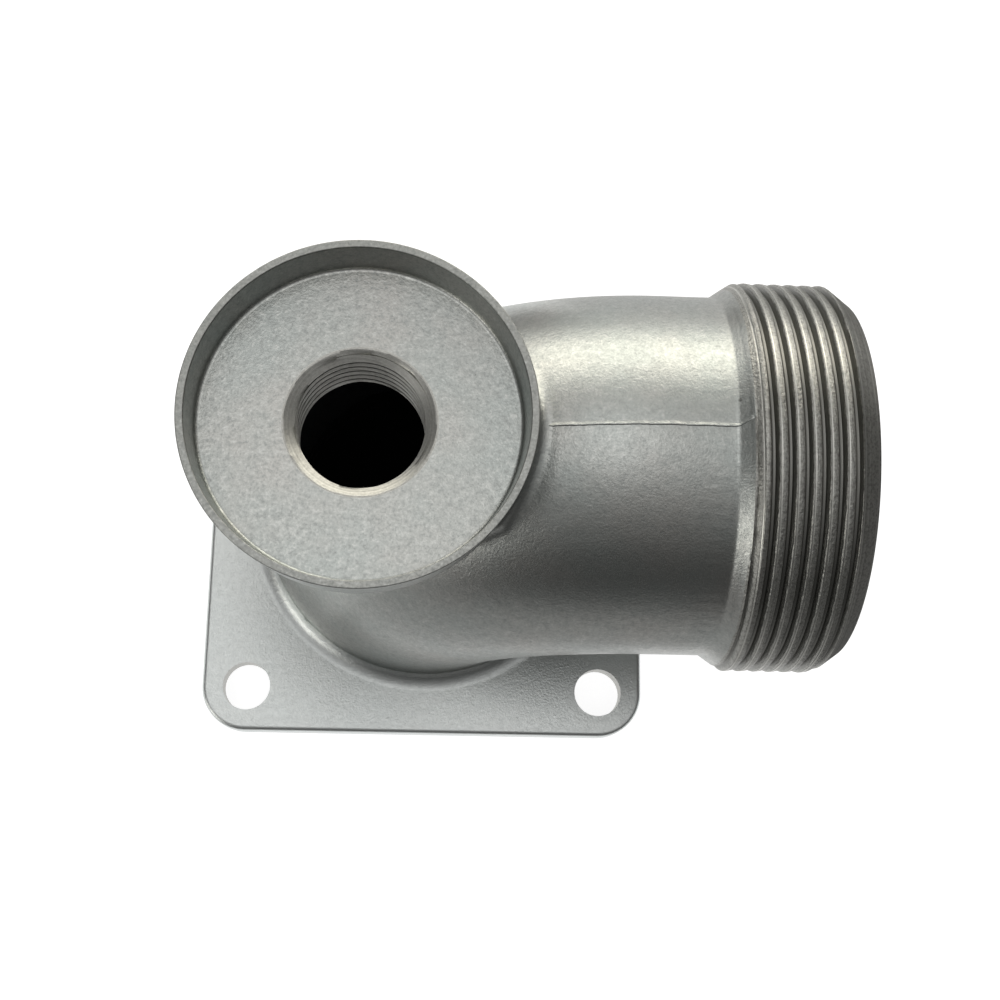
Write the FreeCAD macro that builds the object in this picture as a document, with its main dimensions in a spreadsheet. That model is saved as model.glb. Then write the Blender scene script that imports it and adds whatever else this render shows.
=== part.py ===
# Outlet elbow of a small water pump: one aluminium casting with a square bolt flange,
# a 90 degree bend, a 2 inch male pipe thread and a filler cup with a threaded hole.
# Millimetres. Origin: centre of the flange's mounting face, which lies in the XY plane.
# +Z runs up to the filler cup, +X out of the threaded outlet, and XZ is the plane of symmetry.
import FreeCAD, Part
import Sketcher
import os
from math import pi

NODE = "outlet_elbow"

# Driving dimensions, in millimetres unless the name ends in degrees.
SIZES = [
    ("flange_width", 75.0),
    ("flange_thickness", 4.0),
    ("flange_corner_radius", 7.5),
    ("flange_edge_round", 0.8),
    ("bolt_edge_distance", 7.5),
    ("bolt_hole_diameter", 8.0),
    ("neck_fillet", 3.4),
    ("neck_bite", 0.2),
    ("wall", 4.0),
    ("neck_height", 3.5),
    ("bend_radius", 34.0),
    ("outlet_length", 61.7),
    ("thread_major_diameter", 59.614),
    ("thread_length", 16.6),
    ("thread_pitch", 2.309),
    ("thread_depth", 1.478),
    ("thread_flank_degrees", 27.5),
    ("thread_root_width", 0.3),
    ("thread_lead_in", 2.57),
    ("thread_cut_clearance", 0.2),
    ("shoulder_rise", 2.307),
    ("shoulder_degrees", 30.0),
    ("mouth_taper_length", 3.2),
    ("mouth_taper_height", 2.35),
    ("filler_setback", 9.5),
    ("rim_step", 2.8),
    ("rim_inset", 3.3),
    ("rim_width", 1.1),
    ("rim_draft_degrees", 6.0),
    ("recess_depth", 5.8),
    ("recess_draft_degrees", 7.0),
    ("cup_floor", 3.0),
    ("cup_flare_degrees", 50.0),
    ("filler_bore_diameter", 17.8),
    ("filler_chamfer_diameter", 21.0),
    ("filler_chamfer_depth", 0.9),
    ("filler_bore_length", 9.7),
    ("chimney_inset", 2.0),
    ("cup_fillet", 2.0),
]

# Lengths that several features share, each worked out from the driving dimensions.
TUBE_RADIUS = "(Sizes.thread_major_diameter / 2 - Sizes.shoulder_rise)"
PASSAGE_RADIUS = TUBE_RADIUS + " - Sizes.wall"
OUTLET_HEIGHT = "Sizes.neck_height + Sizes.bend_radius"
CREST_RADIUS = "Sizes.thread_major_diameter / 2"
THREAD_START = "Sizes.outlet_length - Sizes.thread_length"
FOOT_TOP = "Sizes.flange_thickness + Sizes.neck_fillet"
FOOT_RISE = "(" + FOOT_TOP + " - Sizes.neck_height)"
NECK_LEAN = "(Sizes.bend_radius - sqrt(Sizes.bend_radius ^ 2 - " + FOOT_RISE + " ^ 2))"
FOOT_NECK_RADIUS = TUBE_RADIUS + " - Sizes.neck_bite - " + NECK_LEAN
FOOT_RADIUS = FOOT_NECK_RADIUS + " + Sizes.neck_fillet"
SHOULDER_START = THREAD_START + " - Sizes.shoulder_rise / tan(Sizes.shoulder_degrees * 1deg)"
MOUTH_RADIUS = "Sizes.thread_major_diameter / 2 - Sizes.mouth_taper_height"
MOUTH_START = "Sizes.outlet_length - Sizes.mouth_taper_length"
GROOVE_START = THREAD_START + " + Sizes.thread_lead_in"
GROOVE_ROOT = "-(Sizes.thread_major_diameter / 2 - Sizes.thread_depth)"
GROOVE_TOP = "-(Sizes.thread_major_diameter / 2 + Sizes.thread_cut_clearance)"
GROOVE_RISE = "(Sizes.thread_depth + Sizes.thread_cut_clearance)"
ROOT_HALF = "Sizes.thread_root_width / 2"
TOP_HALF = ROOT_HALF + " + " + GROOVE_RISE + " * tan(Sizes.thread_flank_degrees * 1deg)"
GROOVE_REACH = "(Sizes.thread_length - Sizes.mouth_taper_length / 2 - Sizes.thread_lead_in)"
GROOVE_STEPS = "floor(" + GROOVE_REACH + " / Sizes.thread_pitch)"
RIM_TOP = OUTLET_HEIGHT + " + " + TUBE_RADIUS + " + Sizes.rim_step"
RIM_RADIUS = "(" + TUBE_RADIUS + " - Sizes.rim_inset)"
RECESS_RADIUS = RIM_RADIUS + " - Sizes.rim_width"
RECESS_FLOOR = RIM_TOP + " - Sizes.recess_depth"
FLOOR_RADIUS = RECESS_RADIUS + " - Sizes.recess_depth * tan(Sizes.recess_draft_degrees * 1deg)"
CUP_DEPTH = "(Sizes.recess_depth + Sizes.cup_floor)"
CUP_UNDERSIDE = RIM_TOP + " - " + CUP_DEPTH
CUP_BOTTOM_RADIUS = RIM_RADIUS + " - " + CUP_DEPTH + " * tan(Sizes.rim_draft_degrees * 1deg)"
BORE_RADIUS = "Sizes.filler_bore_diameter / 2"
BORE_BOTTOM = RECESS_FLOOR + " - Sizes.filler_bore_length"
CHIMNEY_RADIUS = "(" + TUBE_RADIUS + " - Sizes.filler_setback - Sizes.chimney_inset)"
CAVITY_RADIUS = CHIMNEY_RADIUS + " - Sizes.wall"
FLARE_WIDTH = "(" + CUP_BOTTOM_RADIUS + " - (" + CHIMNEY_RADIUS + "))"
CHIMNEY_TOP = CUP_UNDERSIDE + " - " + FLARE_WIDTH + " * tan(Sizes.cup_flare_degrees * 1deg)"

document = FreeCAD.newDocument("OutletElbow")
sheet = document.addObject("Spreadsheet::Sheet", "Sizes")
for row, (alias, value) in enumerate(SIZES, start=1):
    sheet.set("A%d" % row, alias)
    sheet.set("B%d" % row, repr(value))
    sheet.setAlias("B%d" % row, alias)
document.recompute()

body = document.addObject("PartDesign::Body", "OutletElbow")
body.Label = NODE
body.Placement = FreeCAD.Placement()
origin = {feature.Role: feature for feature in body.Origin.OriginFeatures}


def value_of(length):
    """Present value of a length written as text, in millimetres."""
    found = sheet.evalExpression(length.replace("Sizes.", ""))
    return float(getattr(found, "Value", found))


def new_sketch(name, plane, across="0", along="0", away="0", turn=0):
    """Sketch on an origin plane of the body, shifted in the plane's axes and turned in it."""
    sketch = body.newObject("Sketcher::SketchObject", name)
    sketch.AttachmentSupport = (origin[plane], [""])
    sketch.MapMode = "FlatFace"
    sketch.AttachmentOffset = FreeCAD.Placement(
        FreeCAD.Vector(value_of(across), value_of(along), value_of(away)),
        FreeCAD.Rotation(FreeCAD.Vector(0, 0, 1), turn),
    )
    for axis, length in (("x", across), ("y", along), ("z", away)):
        if length != "0":
            sketch.setExpression("AttachmentOffset.Base." + axis, length)
    return sketch


def pin_point(sketch, geometry, end, across, along):
    """Place one point of a sketch by two lengths measured from the sketch's origin."""
    for kind, length, axis in (("DistanceX", across, -2), ("DistanceY", along, -1)):
        if length == "0":
            sketch.addConstraint(Sketcher.Constraint("PointOnObject", geometry, end, axis))
        else:
            datum = value_of(length)
            index = sketch.addConstraint(Sketcher.Constraint(kind, -1, 1, geometry, end, datum))
            sketch.setExpression("Constraints[%d]" % index, length)


def draw_outline(sketch, points, hollow=None):
    """Closed clockwise outline through points, each given as a pair of lengths.

    Its sides are straight, apart from one that may be a quarter circle hollowed into it,
    given by the number of the side, the circle's centre and its radius.
    """
    places = [FreeCAD.Vector(value_of(across), value_of(along), 0) for across, along in points]
    following = places[1:] + places[:1]
    for index, (place, next_place) in enumerate(zip(places, following)):
        side = Part.LineSegment(place, next_place)
        if hollow is not None and index == hollow[0]:
            centre = FreeCAD.Vector(value_of(hollow[1]), value_of(hollow[2]), 0)
            circle = Part.Circle(centre, FreeCAD.Vector(0, 0, 1), value_of(hollow[3]))
            side = Part.ArcOfCircle(circle, circle.parameter(place), circle.parameter(next_place))
        sketch.addGeometry(side, False)
    for index in range(len(points)):
        next_index = (index + 1) % len(points)
        sketch.addConstraint(Sketcher.Constraint("Coincident", index, 2, next_index, 1))
    for index, (across, along) in enumerate(points):
        pin_point(sketch, index, 1, across, along)
    if hollow is not None:
        radius = Sketcher.Constraint("Radius", hollow[0], value_of(hollow[3]))
        sketch.setExpression("Constraints[%d]" % sketch.addConstraint(radius), hollow[3])


def draw_circle(sketch, radius, across="0", along="0"):
    """Circle about a point of the sketch."""
    centre = FreeCAD.Vector(value_of(across), value_of(along), 0)
    circle = Part.Circle(centre, FreeCAD.Vector(0, 0, 1), value_of(radius))
    geometry = sketch.addGeometry(circle, False)
    index = sketch.addConstraint(Sketcher.Constraint("Radius", geometry, value_of(radius)))
    sketch.setExpression("Constraints[%d]" % index, radius)
    pin_point(sketch, geometry, 3, across, along)


def draw_quarters(sketch, radius, across):
    """Circle about a point of the sketch, cut at its diagonals to keep the swept faces small."""
    centre = FreeCAD.Vector(value_of(across), 0, 0)
    circle = Part.Circle(centre, FreeCAD.Vector(0, 0, 1), value_of(radius))
    for quarter in range(4):
        start = pi / 4 + quarter * pi / 2
        sketch.addGeometry(Part.ArcOfCircle(circle, start, start + pi / 2), False)
    for quarter, sign in enumerate(("+", "-", "-", "+")):
        following = (quarter + 1) % 4
        sketch.addConstraint(Sketcher.Constraint("Coincident", quarter, 2, following, 1))
        if quarter > 0:
            sketch.addConstraint(Sketcher.Constraint("Coincident", 0, 3, quarter, 3))
        corner = "%s %s (%s) * sqrt(0.5)" % (across, sign, radius)
        datum = value_of(corner)
        index = sketch.addConstraint(Sketcher.Constraint("DistanceX", -1, 1, quarter, 1, datum))
        sketch.setExpression("Constraints[%d]" % index, corner)
    index = sketch.addConstraint(Sketcher.Constraint("Radius", 0, value_of(radius)))
    sketch.setExpression("Constraints[%d]" % index, radius)
    pin_point(sketch, 0, 3, across, "0")


def add_feature(kind, name, sketch, **settings):
    """Feature of the body made from a sketch. A setting given as text is bound to the sheet."""
    before = body.Shape.Volume if body.Tip else 0.0
    feature = body.newObject("PartDesign::" + kind, name)
    feature.Profile = sketch
    for setting, given in settings.items():
        if isinstance(given, str):
            feature.setExpression(setting, given)
        else:
            setattr(feature, setting, given)
    document.recompute()
    change = body.Shape.Volume - before
    removes = kind in ("Pocket", "Groove")
    if (change >= 0) if removes else (change <= 0):
        raise RuntimeError("%s changed the volume by %.3f" % (name, change))
    return feature


def add_rounding(name, radius, wanted):
    """Fillet of the edges of the body for which the given test holds."""
    edges = ["Edge%d" % (i + 1) for i, edge in enumerate(body.Shape.Edges) if wanted(edge)]
    base = body.Tip
    rounding = body.newObject("PartDesign::Fillet", name)
    rounding.Base = (base, edges)
    rounding.setExpression("Radius", radius)
    document.recompute()
    return rounding


def is_upright(edge):
    """True for an edge that runs along Z."""
    return edge.Curve.TypeId == "Part::GeomLine" and abs(edge.Curve.Direction.z) > 0.99


def lies_at_height(edge, height):
    """True for an edge that lies wholly at one height."""
    box = edge.BoundBox
    return abs(box.ZMin - height) < 0.01 and abs(box.ZMax - height) < 0.01


def is_on_elbow(surface):
    """True for a surface of the bend or of the straight pipe after it."""
    if surface.TypeId == "Part::GeomToroid":
        return abs(surface.MajorRadius - value_of("Sizes.bend_radius")) < 0.01
    return surface.TypeId == "Part::GeomCylinder" and abs(surface.Axis.x) > 0.99


def is_on_cup(surface):
    """True for a cylinder or cone about the filler's upright axis."""
    if surface.TypeId not in ("Part::GeomCylinder", "Part::GeomCone") or abs(surface.Axis.z) < 0.99:
        return False
    return abs(surface.Center.x + value_of("Sizes.filler_setback")) < 0.01


def joins_cup_to_elbow(edge):
    """True for an edge in which the cup or its chimney meets the bend or the pipe."""
    surfaces = [face.Surface for face in body.Shape.ancestorsOfType(edge, Part.Face)]
    return any(map(is_on_cup, surfaces)) and any(map(is_on_elbow, surfaces))


# Square flange with round corners and a softened top edge.
half_width = "-Sizes.flange_width / 2"
flange_sketch = new_sketch("FlangeSketch", "XY_Plane", across=half_width, along=half_width)
draw_outline(
    flange_sketch,
    [
        ("0", "0"),
        ("Sizes.flange_width", "0"),
        ("Sizes.flange_width", "Sizes.flange_width"),
        ("0", "Sizes.flange_width"),
    ],
)
add_feature("Pad", "Flange", flange_sketch, Length="Sizes.flange_thickness")
add_rounding("FlangeCorners", "Sizes.flange_corner_radius", is_upright)
flange_top = value_of("Sizes.flange_thickness")
add_rounding("FlangeEdge", "Sizes.flange_edge_round", lambda edge: lies_at_height(edge, flange_top))

# Quarter bend from the flange to the outlet, turned about a line across the part.
bend_place = {"across": "Sizes.bend_radius", "away": "Sizes.neck_height", "turn": 180}
bend_sketch = new_sketch("BendSketch", "XY_Plane", **bend_place)
draw_quarters(bend_sketch, TUBE_RADIUS, across="Sizes.bend_radius")
bend_line = (bend_sketch, ["V_Axis"])
add_feature("Revolution", "Bend", bend_sketch, ReferenceAxis=bend_line, Angle=90, Reversed=True)

# Foot of the neck: a ring with a hollow round that runs out into the flange. The bend already
# leans at this height, so the ring's top is sunk a little into it all the way round.
foot_sketch = new_sketch("FootSketch", "XZ_Plane")
draw_outline(
    foot_sketch,
    [
        ("0", FOOT_TOP),
        (FOOT_NECK_RADIUS, FOOT_TOP),
        (FOOT_RADIUS, "Sizes.flange_thickness"),
        (FOOT_RADIUS, "0"),
        ("0", "0"),
    ],
    hollow=(1, FOOT_RADIUS, FOOT_TOP, "Sizes.neck_fillet"),
)
add_feature("Revolution", "Foot", foot_sketch, ReferenceAxis=(foot_sketch, ["V_Axis"]), Angle=360)

# Outlet turned about its own axis: straight tube, conical shoulder, thread blank and mouth.
outlet_sketch = new_sketch("OutletSketch", "XZ_Plane", along=OUTLET_HEIGHT)
draw_outline(
    outlet_sketch,
    [
        ("Sizes.bend_radius", "0"),
        ("Sizes.bend_radius", TUBE_RADIUS),
        (SHOULDER_START, TUBE_RADIUS),
        (THREAD_START, CREST_RADIUS),
        (MOUTH_START, CREST_RADIUS),
        ("Sizes.outlet_length", MOUTH_RADIUS),
        ("Sizes.outlet_length", "0"),
    ],
)
outlet_axis = (outlet_sketch, ["H_Axis"])
add_feature("Revolution", "Outlet", outlet_sketch, ReferenceAxis=outlet_axis, Angle=360)

# Thread grooves with the thread's pitch, depth and flank angle, from the plain band behind the
# shoulder to the mouth's taper. Each is a ring of its own, without the thread's lead.
groove_sketch = new_sketch("ThreadSketch", "XZ_Plane", along=OUTLET_HEIGHT)
draw_outline(
    groove_sketch,
    [
        (GROOVE_START + " - (" + TOP_HALF + ")", GROOVE_TOP),
        (GROOVE_START + " - " + ROOT_HALF, GROOVE_ROOT),
        (GROOVE_START + " + " + ROOT_HALF, GROOVE_ROOT),
        (GROOVE_START + " + " + TOP_HALF, GROOVE_TOP),
    ],
)
groove_axis = (groove_sketch, ["H_Axis"])
thread_groove = add_feature("Groove", "ThreadGroove", groove_sketch, ReferenceAxis=groove_axis, Angle=360)
thread = body.newObject("PartDesign::LinearPattern", "Thread")
thread.Originals = [thread_groove]
thread.Direction = (origin["X_Axis"], [""])
thread.setExpression("Length", GROOVE_STEPS + " * Sizes.thread_pitch")
thread.setExpression("Occurrences", GROOVE_STEPS + " + 1")
body.Tip = thread
document.recompute()

# Chimney that rises from the bend, flares out and carries the drafted cup.
cup_sketch = new_sketch("CupSketch", "XZ_Plane", across="-Sizes.filler_setback")
draw_outline(
    cup_sketch,
    [
        ("0", RIM_TOP),
        (RIM_RADIUS, RIM_TOP),
        (CUP_BOTTOM_RADIUS, CUP_UNDERSIDE),
        (CHIMNEY_RADIUS, CHIMNEY_TOP),
        (CHIMNEY_RADIUS, "Sizes.flange_thickness"),
        ("0", "Sizes.flange_thickness"),
    ],
)
add_feature("Revolution", "Cup", cup_sketch, ReferenceAxis=(cup_sketch, ["V_Axis"]), Angle=360)
add_rounding("CupFillet", "Sizes.cup_fillet", joins_cup_to_elbow)

# Water passage: mouth in the flange, bend and outlet bore.
inlet_sketch = new_sketch("InletSketch", "XY_Plane")
draw_circle(inlet_sketch, PASSAGE_RADIUS)
add_feature("Pocket", "Inlet", inlet_sketch, Length="Sizes.neck_height", Reversed=True)

passage_sketch = new_sketch("PassageSketch", "XY_Plane", **bend_place)
draw_quarters(passage_sketch, PASSAGE_RADIUS, across="Sizes.bend_radius")
passage_line = (passage_sketch, ["V_Axis"])
add_feature("Groove", "Passage", passage_sketch, ReferenceAxis=passage_line, Angle=90, Reversed=True)

bore_sketch = new_sketch("OutletBoreSketch", "XZ_Plane", along=OUTLET_HEIGHT)
draw_outline(
    bore_sketch,
    [
        ("Sizes.bend_radius", "0"),
        ("Sizes.bend_radius", PASSAGE_RADIUS),
        ("Sizes.outlet_length", PASSAGE_RADIUS),
        ("Sizes.outlet_length", "0"),
    ],
)
bore_axis = (bore_sketch, ["H_Axis"])
add_feature("Groove", "OutletBore", bore_sketch, ReferenceAxis=bore_axis, Angle=360)

# Cup recess, chamfered filler hole and the wider cavity below it, all about one axis.
filler_sketch = new_sketch("FillerSketch", "XZ_Plane", across="-Sizes.filler_setback")
draw_outline(
    filler_sketch,
    [
        ("0", RIM_TOP),
        (RECESS_RADIUS, RIM_TOP),
        (FLOOR_RADIUS, RECESS_FLOOR),
        ("Sizes.filler_chamfer_diameter / 2", RECESS_FLOOR),
        (BORE_RADIUS, RECESS_FLOOR + " - Sizes.filler_chamfer_depth"),
        (BORE_RADIUS, BORE_BOTTOM),
        (CAVITY_RADIUS, BORE_BOTTOM),
        (CAVITY_RADIUS, "Sizes.flange_thickness"),
        ("0", "Sizes.flange_thickness"),
    ],
)
add_feature("Groove", "Filler", filler_sketch, ReferenceAxis=(filler_sketch, ["V_Axis"]), Angle=360)

# One bolt hole through the flange, repeated at its four corners.
bolt_sketch = new_sketch("BoltSketch", "XY_Plane")
half_spacing = "Sizes.flange_width / 2 - Sizes.bolt_edge_distance"
draw_circle(bolt_sketch, "Sizes.bolt_hole_diameter / 2", across=half_spacing, along=half_spacing)
bolt_hole = add_feature("Pocket", "BoltHole", bolt_sketch, Length="Sizes.flange_thickness", Reversed=True)
bolt_holes = body.newObject("PartDesign::PolarPattern", "BoltHoles")
bolt_holes.Originals = [bolt_hole]
bolt_holes.Axis = (origin["Z_Axis"], [""])
bolt_holes.Angle = 360
bolt_holes.Occurrences = 4
body.Tip = bolt_holes
document.recompute()

failed = [item.Name for item in document.Objects if {"Invalid", "Error"} & set(item.State)]
if failed or body.Shape.isNull() or not body.Shape.isValid() or len(body.Shape.Solids) != 1:
    raise RuntimeError("the casting did not build: " + ", ".join(failed))
box = body.Shape.optimalBoundingBox(False)
extent = (box.XLength, box.YLength, box.ZLength)
print("%s: %.1f x %.1f x %.1f mm, %.0f mm3" % ((NODE,) + extent + (body.Shape.Volume,)))

os.makedirs("parts", exist_ok=True)
body.Shape.exportStep(os.path.join("parts", NODE + ".step"))
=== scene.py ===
"""Looks of the cast pump outlet elbow: threads, turned rims, blasted skin and studio.

Lengths are in metres, in the frame of the part: the flange lies on z = 0, the outlet runs
along +X and the filler cup opens upwards.
"""
import bmesh
import bpy
import numpy as np
from math import radians, tan, pi
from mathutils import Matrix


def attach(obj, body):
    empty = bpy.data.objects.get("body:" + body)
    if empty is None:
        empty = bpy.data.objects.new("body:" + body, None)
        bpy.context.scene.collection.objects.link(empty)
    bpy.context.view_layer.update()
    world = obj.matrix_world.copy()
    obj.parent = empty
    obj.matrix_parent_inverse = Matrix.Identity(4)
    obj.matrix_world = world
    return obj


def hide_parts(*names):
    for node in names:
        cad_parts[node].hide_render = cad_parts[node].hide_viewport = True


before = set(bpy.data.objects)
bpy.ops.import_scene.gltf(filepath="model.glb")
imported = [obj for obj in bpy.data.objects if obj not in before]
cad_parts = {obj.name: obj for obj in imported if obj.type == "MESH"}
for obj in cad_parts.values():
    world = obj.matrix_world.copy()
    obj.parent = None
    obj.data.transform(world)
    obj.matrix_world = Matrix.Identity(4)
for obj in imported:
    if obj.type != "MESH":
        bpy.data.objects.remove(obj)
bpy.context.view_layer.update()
casting_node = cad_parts["outlet_elbow"]

# Sizes shared with the casting.
MM = 0.001
BEND_RADIUS = 34.0 * MM
BEND_FOOT = 3.5 * MM
OUTLET_HEIGHT = 37.5 * MM
PIPE_RADIUS = 27.5 * MM
PASSAGE_RADIUS = 23.5 * MM
OUTLET_END = 61.7 * MM
THREAD_START = 45.5 * MM
THREAD_RADIUS = 29.807 * MM
SHOULDER_START = 42.1 * MM
MOUTH_START = 58.5 * MM
MOUTH_RADIUS = 27.457 * MM
FILLER_AXIS = -9.5 * MM
RIM_TOP = 67.8 * MM
RIM_RADIUS = 24.2 * MM
RIM_INNER_RADIUS = 23.1 * MM
RECESS_FLOOR = 62.0 * MM
CHAMFER_RADIUS = 10.5 * MM
CHAMFER_BOTTOM = 61.1 * MM
BORE_RADIUS = 8.9 * MM
BORE_BOTTOM = 52.3 * MM
CAVITY_RADIUS = 12.0 * MM

# Where the plain casting is cut off, and where the turned ends begin beyond a stitched band.
OUTLET_CUT = 40.6 * MM
OUTLET_SEAM = OUTLET_CUT + 0.3 * MM
RIM_CUT = 65.6 * MM
RIM_SEAM = RIM_CUT + 0.15 * MM

# Reach and lowest height of the recess that is cut away, and the foot of the cavity's wall.
RECESS_REACH = 23.3 * MM
RECESS_CUT = 61.05 * MM
CAVITY_FOOT = 20 * MM

# Radii between the pipe's outside and its passage, and between the rim's outside and its recess.
PIPE_MIDDLE = 25 * MM
RIM_MIDDLE = 23.4 * MM

# Bolt holes: half their spacing, their radius with a margin, and the height of their wall.
BOLT_REACH = 30 * MM
BOLT_HOLE = 4.05 * MM
BOLT_WALL = 4 * MM

# Points closer than a hair are one. Closer than a sliver they are one in the plain casting.
# A face belongs to a wall when it lies within a flake of it.
HAIR = 1e-6
SLIVER = 0.02 * MM
FLAKE = 0.1 * MM

# Points round a turn of the outlet and round a turn of the filler cup.
COLUMNS = 360
FILLER_COLUMNS = 240

# Numbers of the finishes.
SKIN, TURNED, CORE, RIM = 0, 1, 2, 3


def wave_noise(angle, seed, tones=9, lowest=3):
    """Uneven ripple round a turn, within about +-1.

    It is a sum of sines of whole frequencies, with seeded shares and phases.
    """
    random = np.random.default_rng(seed)
    counts = np.unique(np.geomspace(lowest, lowest * 40, tones).astype(int))
    phases = random.uniform(0, 2 * pi, counts.size)
    shares = random.uniform(0.4, 1.0, counts.size)
    ripple = (shares[:, None] * np.sin(counts[:, None] * angle.ravel() + phases[:, None])).sum(axis=0)
    return (ripple / shares.sum() * 2.0).reshape(angle.shape)


def grid_faces(rows, columns):
    """Quads of an open grid of rows by columns, as indices into its points taken row by row."""
    corner = (np.arange(rows - 1)[:, None] * columns + np.arange(columns - 1)[None, :]).ravel()
    return np.stack((corner, corner + 1, corner + columns + 1, corner + columns), axis=1)


def turned_surface(profile, columns):
    """Surface of revolution: each (along, radius) of the profile turned once round the axis.

    Gives arrays of along, radius and angle, one row for each point of the profile.
    """
    along, radius = np.asarray(profile, dtype=float).T
    angle = np.linspace(0, 2 * pi, columns + 1)
    shape = (along.size, angle.size)
    return (
        np.broadcast_to(along[:, None], shape),
        np.broadcast_to(radius[:, None], shape),
        np.broadcast_to(angle[None, :], shape),
    )


def outlet_points(along, radius, angle):
    """Points about the outlet's axis: along it in X, and radius times cosine and sine of the angle."""
    return np.stack((along, -radius * np.cos(angle), OUTLET_HEIGHT + radius * np.sin(angle)), axis=-1)


def filler_points(height, radius, angle):
    """Points about the filler's upright axis: radius times cosine and sine of the angle, at a height."""
    return np.stack((FILLER_AXIS + radius * np.cos(angle), radius * np.sin(angle), height), axis=-1)


def rounded_corner(before, corner, after, radius, steps=4):
    """Points of a small round on the corner of a profile.

    A quadratic arc runs from a radius before the corner to a radius after it.
    """
    before, corner, after = (np.asarray(place, dtype=float) for place in (before, corner, after))
    start = corner + (before - corner) / np.linalg.norm(before - corner) * radius
    end = corner + (after - corner) / np.linalg.norm(after - corner) * radius
    share = np.linspace(0, 1, steps + 1)[:, None]
    return ((1 - share) ** 2 * start + 2 * share * (1 - share) * corner + share ** 2 * end).tolist()


def softened(profile, rounds):
    """Profile whose inner corners are rounded by the given radii, none where the radius is 0."""
    points = [profile[0]]
    for before, corner, after, radius in zip(profile, profile[1:], profile[2:], rounds):
        points += rounded_corner(before, corner, after, radius) if radius else [corner]
    return points + [profile[-1]]


# Male thread of 55 degrees: pitch, depth, where a crest lies, where its groove runs out, and
# where the cast cone ends.
THREAD_PITCH = 2.309 * MM
THREAD_DEPTH = 0.98 * MM
THREAD_PHASE = 47.95 * MM
RUNOUT_START = 43.0 * MM
RUNOUT_END = 44.4 * MM
TURNED_START = 44.1 * MM

# Tears of the crests: their depth, the drop in which they die out, how far from the thread's
# ends they begin, and their turns for each turn of the thread, so that no two crests are alike.
CREST_TEAR = 0.045 * MM
TEAR_DROP = 0.25 * MM
TEAR_FADE = 0.4 * MM
TEAR_TURNS = 1.06

# One turn of the thread: distances from the crest's high edge and the drop below that edge.
# The crest slopes away from it, then follow a flank of 27.5 degrees, the root and the other flank.
THREAD_CREST = [(0.0, 0.0), (0.12, 0.006), (0.25, 0.022), (0.50, 0.07), (0.80, 0.13), (0.89, 0.18)]
THREAD_ROOT = [(0.96, 0.29), (1.23, 0.84), (1.27, 0.965), (1.44, 0.98), (1.60, 0.95), (1.66, 0.87)]
THREAD_RISE = [(2.07, 0.085), (2.13, 0.035), (2.20, 0.01), (2.309, 0.0)]
THREAD_PLACES, THREAD_DROPS = np.array(THREAD_CREST + THREAD_ROOT + THREAD_RISE).T * MM


def outlet_thread():
    """Male thread as one ribbon whose rows follow the helix.

    Each row is a fixed place in the profile, carried along the axis by a pitch for each turn and
    held between the shoulder's cone and the mouth. The radius is the lower of the blank's outline
    and the thread's profile, which rises out of the cone towards the run-out's start. Ripples
    that follow the winding tear the crests.
    """
    first = np.floor((RUNOUT_START - THREAD_PHASE) / THREAD_PITCH) - 2
    last = np.ceil((OUTLET_END - THREAD_PHASE) / THREAD_PITCH) + 1
    starts = np.arange(first, last)[:, None] * THREAD_PITCH
    rows = (starts + THREAD_PLACES[None, :-1]).ravel() + THREAD_PHASE
    angle = np.broadcast_to(np.linspace(0, 2 * pi, COLUMNS + 1), (rows.size, COLUMNS + 1))
    advance = THREAD_PITCH * (1 - angle / (2 * pi))
    along = np.clip(rows[:, None] + advance, RUNOUT_START, OUTLET_END)
    turns = (along - THREAD_PHASE - advance) / THREAD_PITCH
    drop = np.interp(turns % 1.0 * THREAD_PITCH, THREAD_PLACES, THREAD_DROPS)
    lift = THREAD_DEPTH * (1 - np.clip((along - RUNOUT_START) / (RUNOUT_END - RUNOUT_START), 0, 1))
    tear = CREST_TEAR * np.exp(-(drop / TEAR_DROP) ** 2)
    winding = angle - 2 * pi * np.round(turns)
    tear = tear * (0.5 + 0.5 * wave_noise(TEAR_TURNS * winding, seed=4, lowest=11))
    from_ends = np.minimum(along - RUNOUT_START, OUTLET_END - along)
    tear = tear * np.clip(from_ends / TEAR_FADE, 0, 1)
    return along, np.minimum(blank_radius(along) - tear, THREAD_RADIUS - drop + lift), angle


def blank_radius(along):
    """Radius of the outlet before its thread is cut: pipe, cone, straight band and mouth taper."""
    places = (SHOULDER_START, THREAD_START, MOUTH_START, OUTLET_END)
    return np.interp(along, places, (PIPE_RADIUS, THREAD_RADIUS, THREAD_RADIUS, MOUTH_RADIUS))


# Thread of the filler hole: pitch and depth, then in parts of a pitch the width of a crest, the
# end of its flank and the places of the rows, both counted from the crest's middle.
FILLER_PITCH = 1.75 * MM
FILLER_DEPTH = 0.95 * MM
FILLER_CREST = 0.22
FILLER_FLANK_END = 0.42
FILLER_ROWS = np.array([-0.5, -0.42, -0.30, -0.20, -0.11, 0.0, 0.11, 0.20, 0.30, 0.42])


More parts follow.
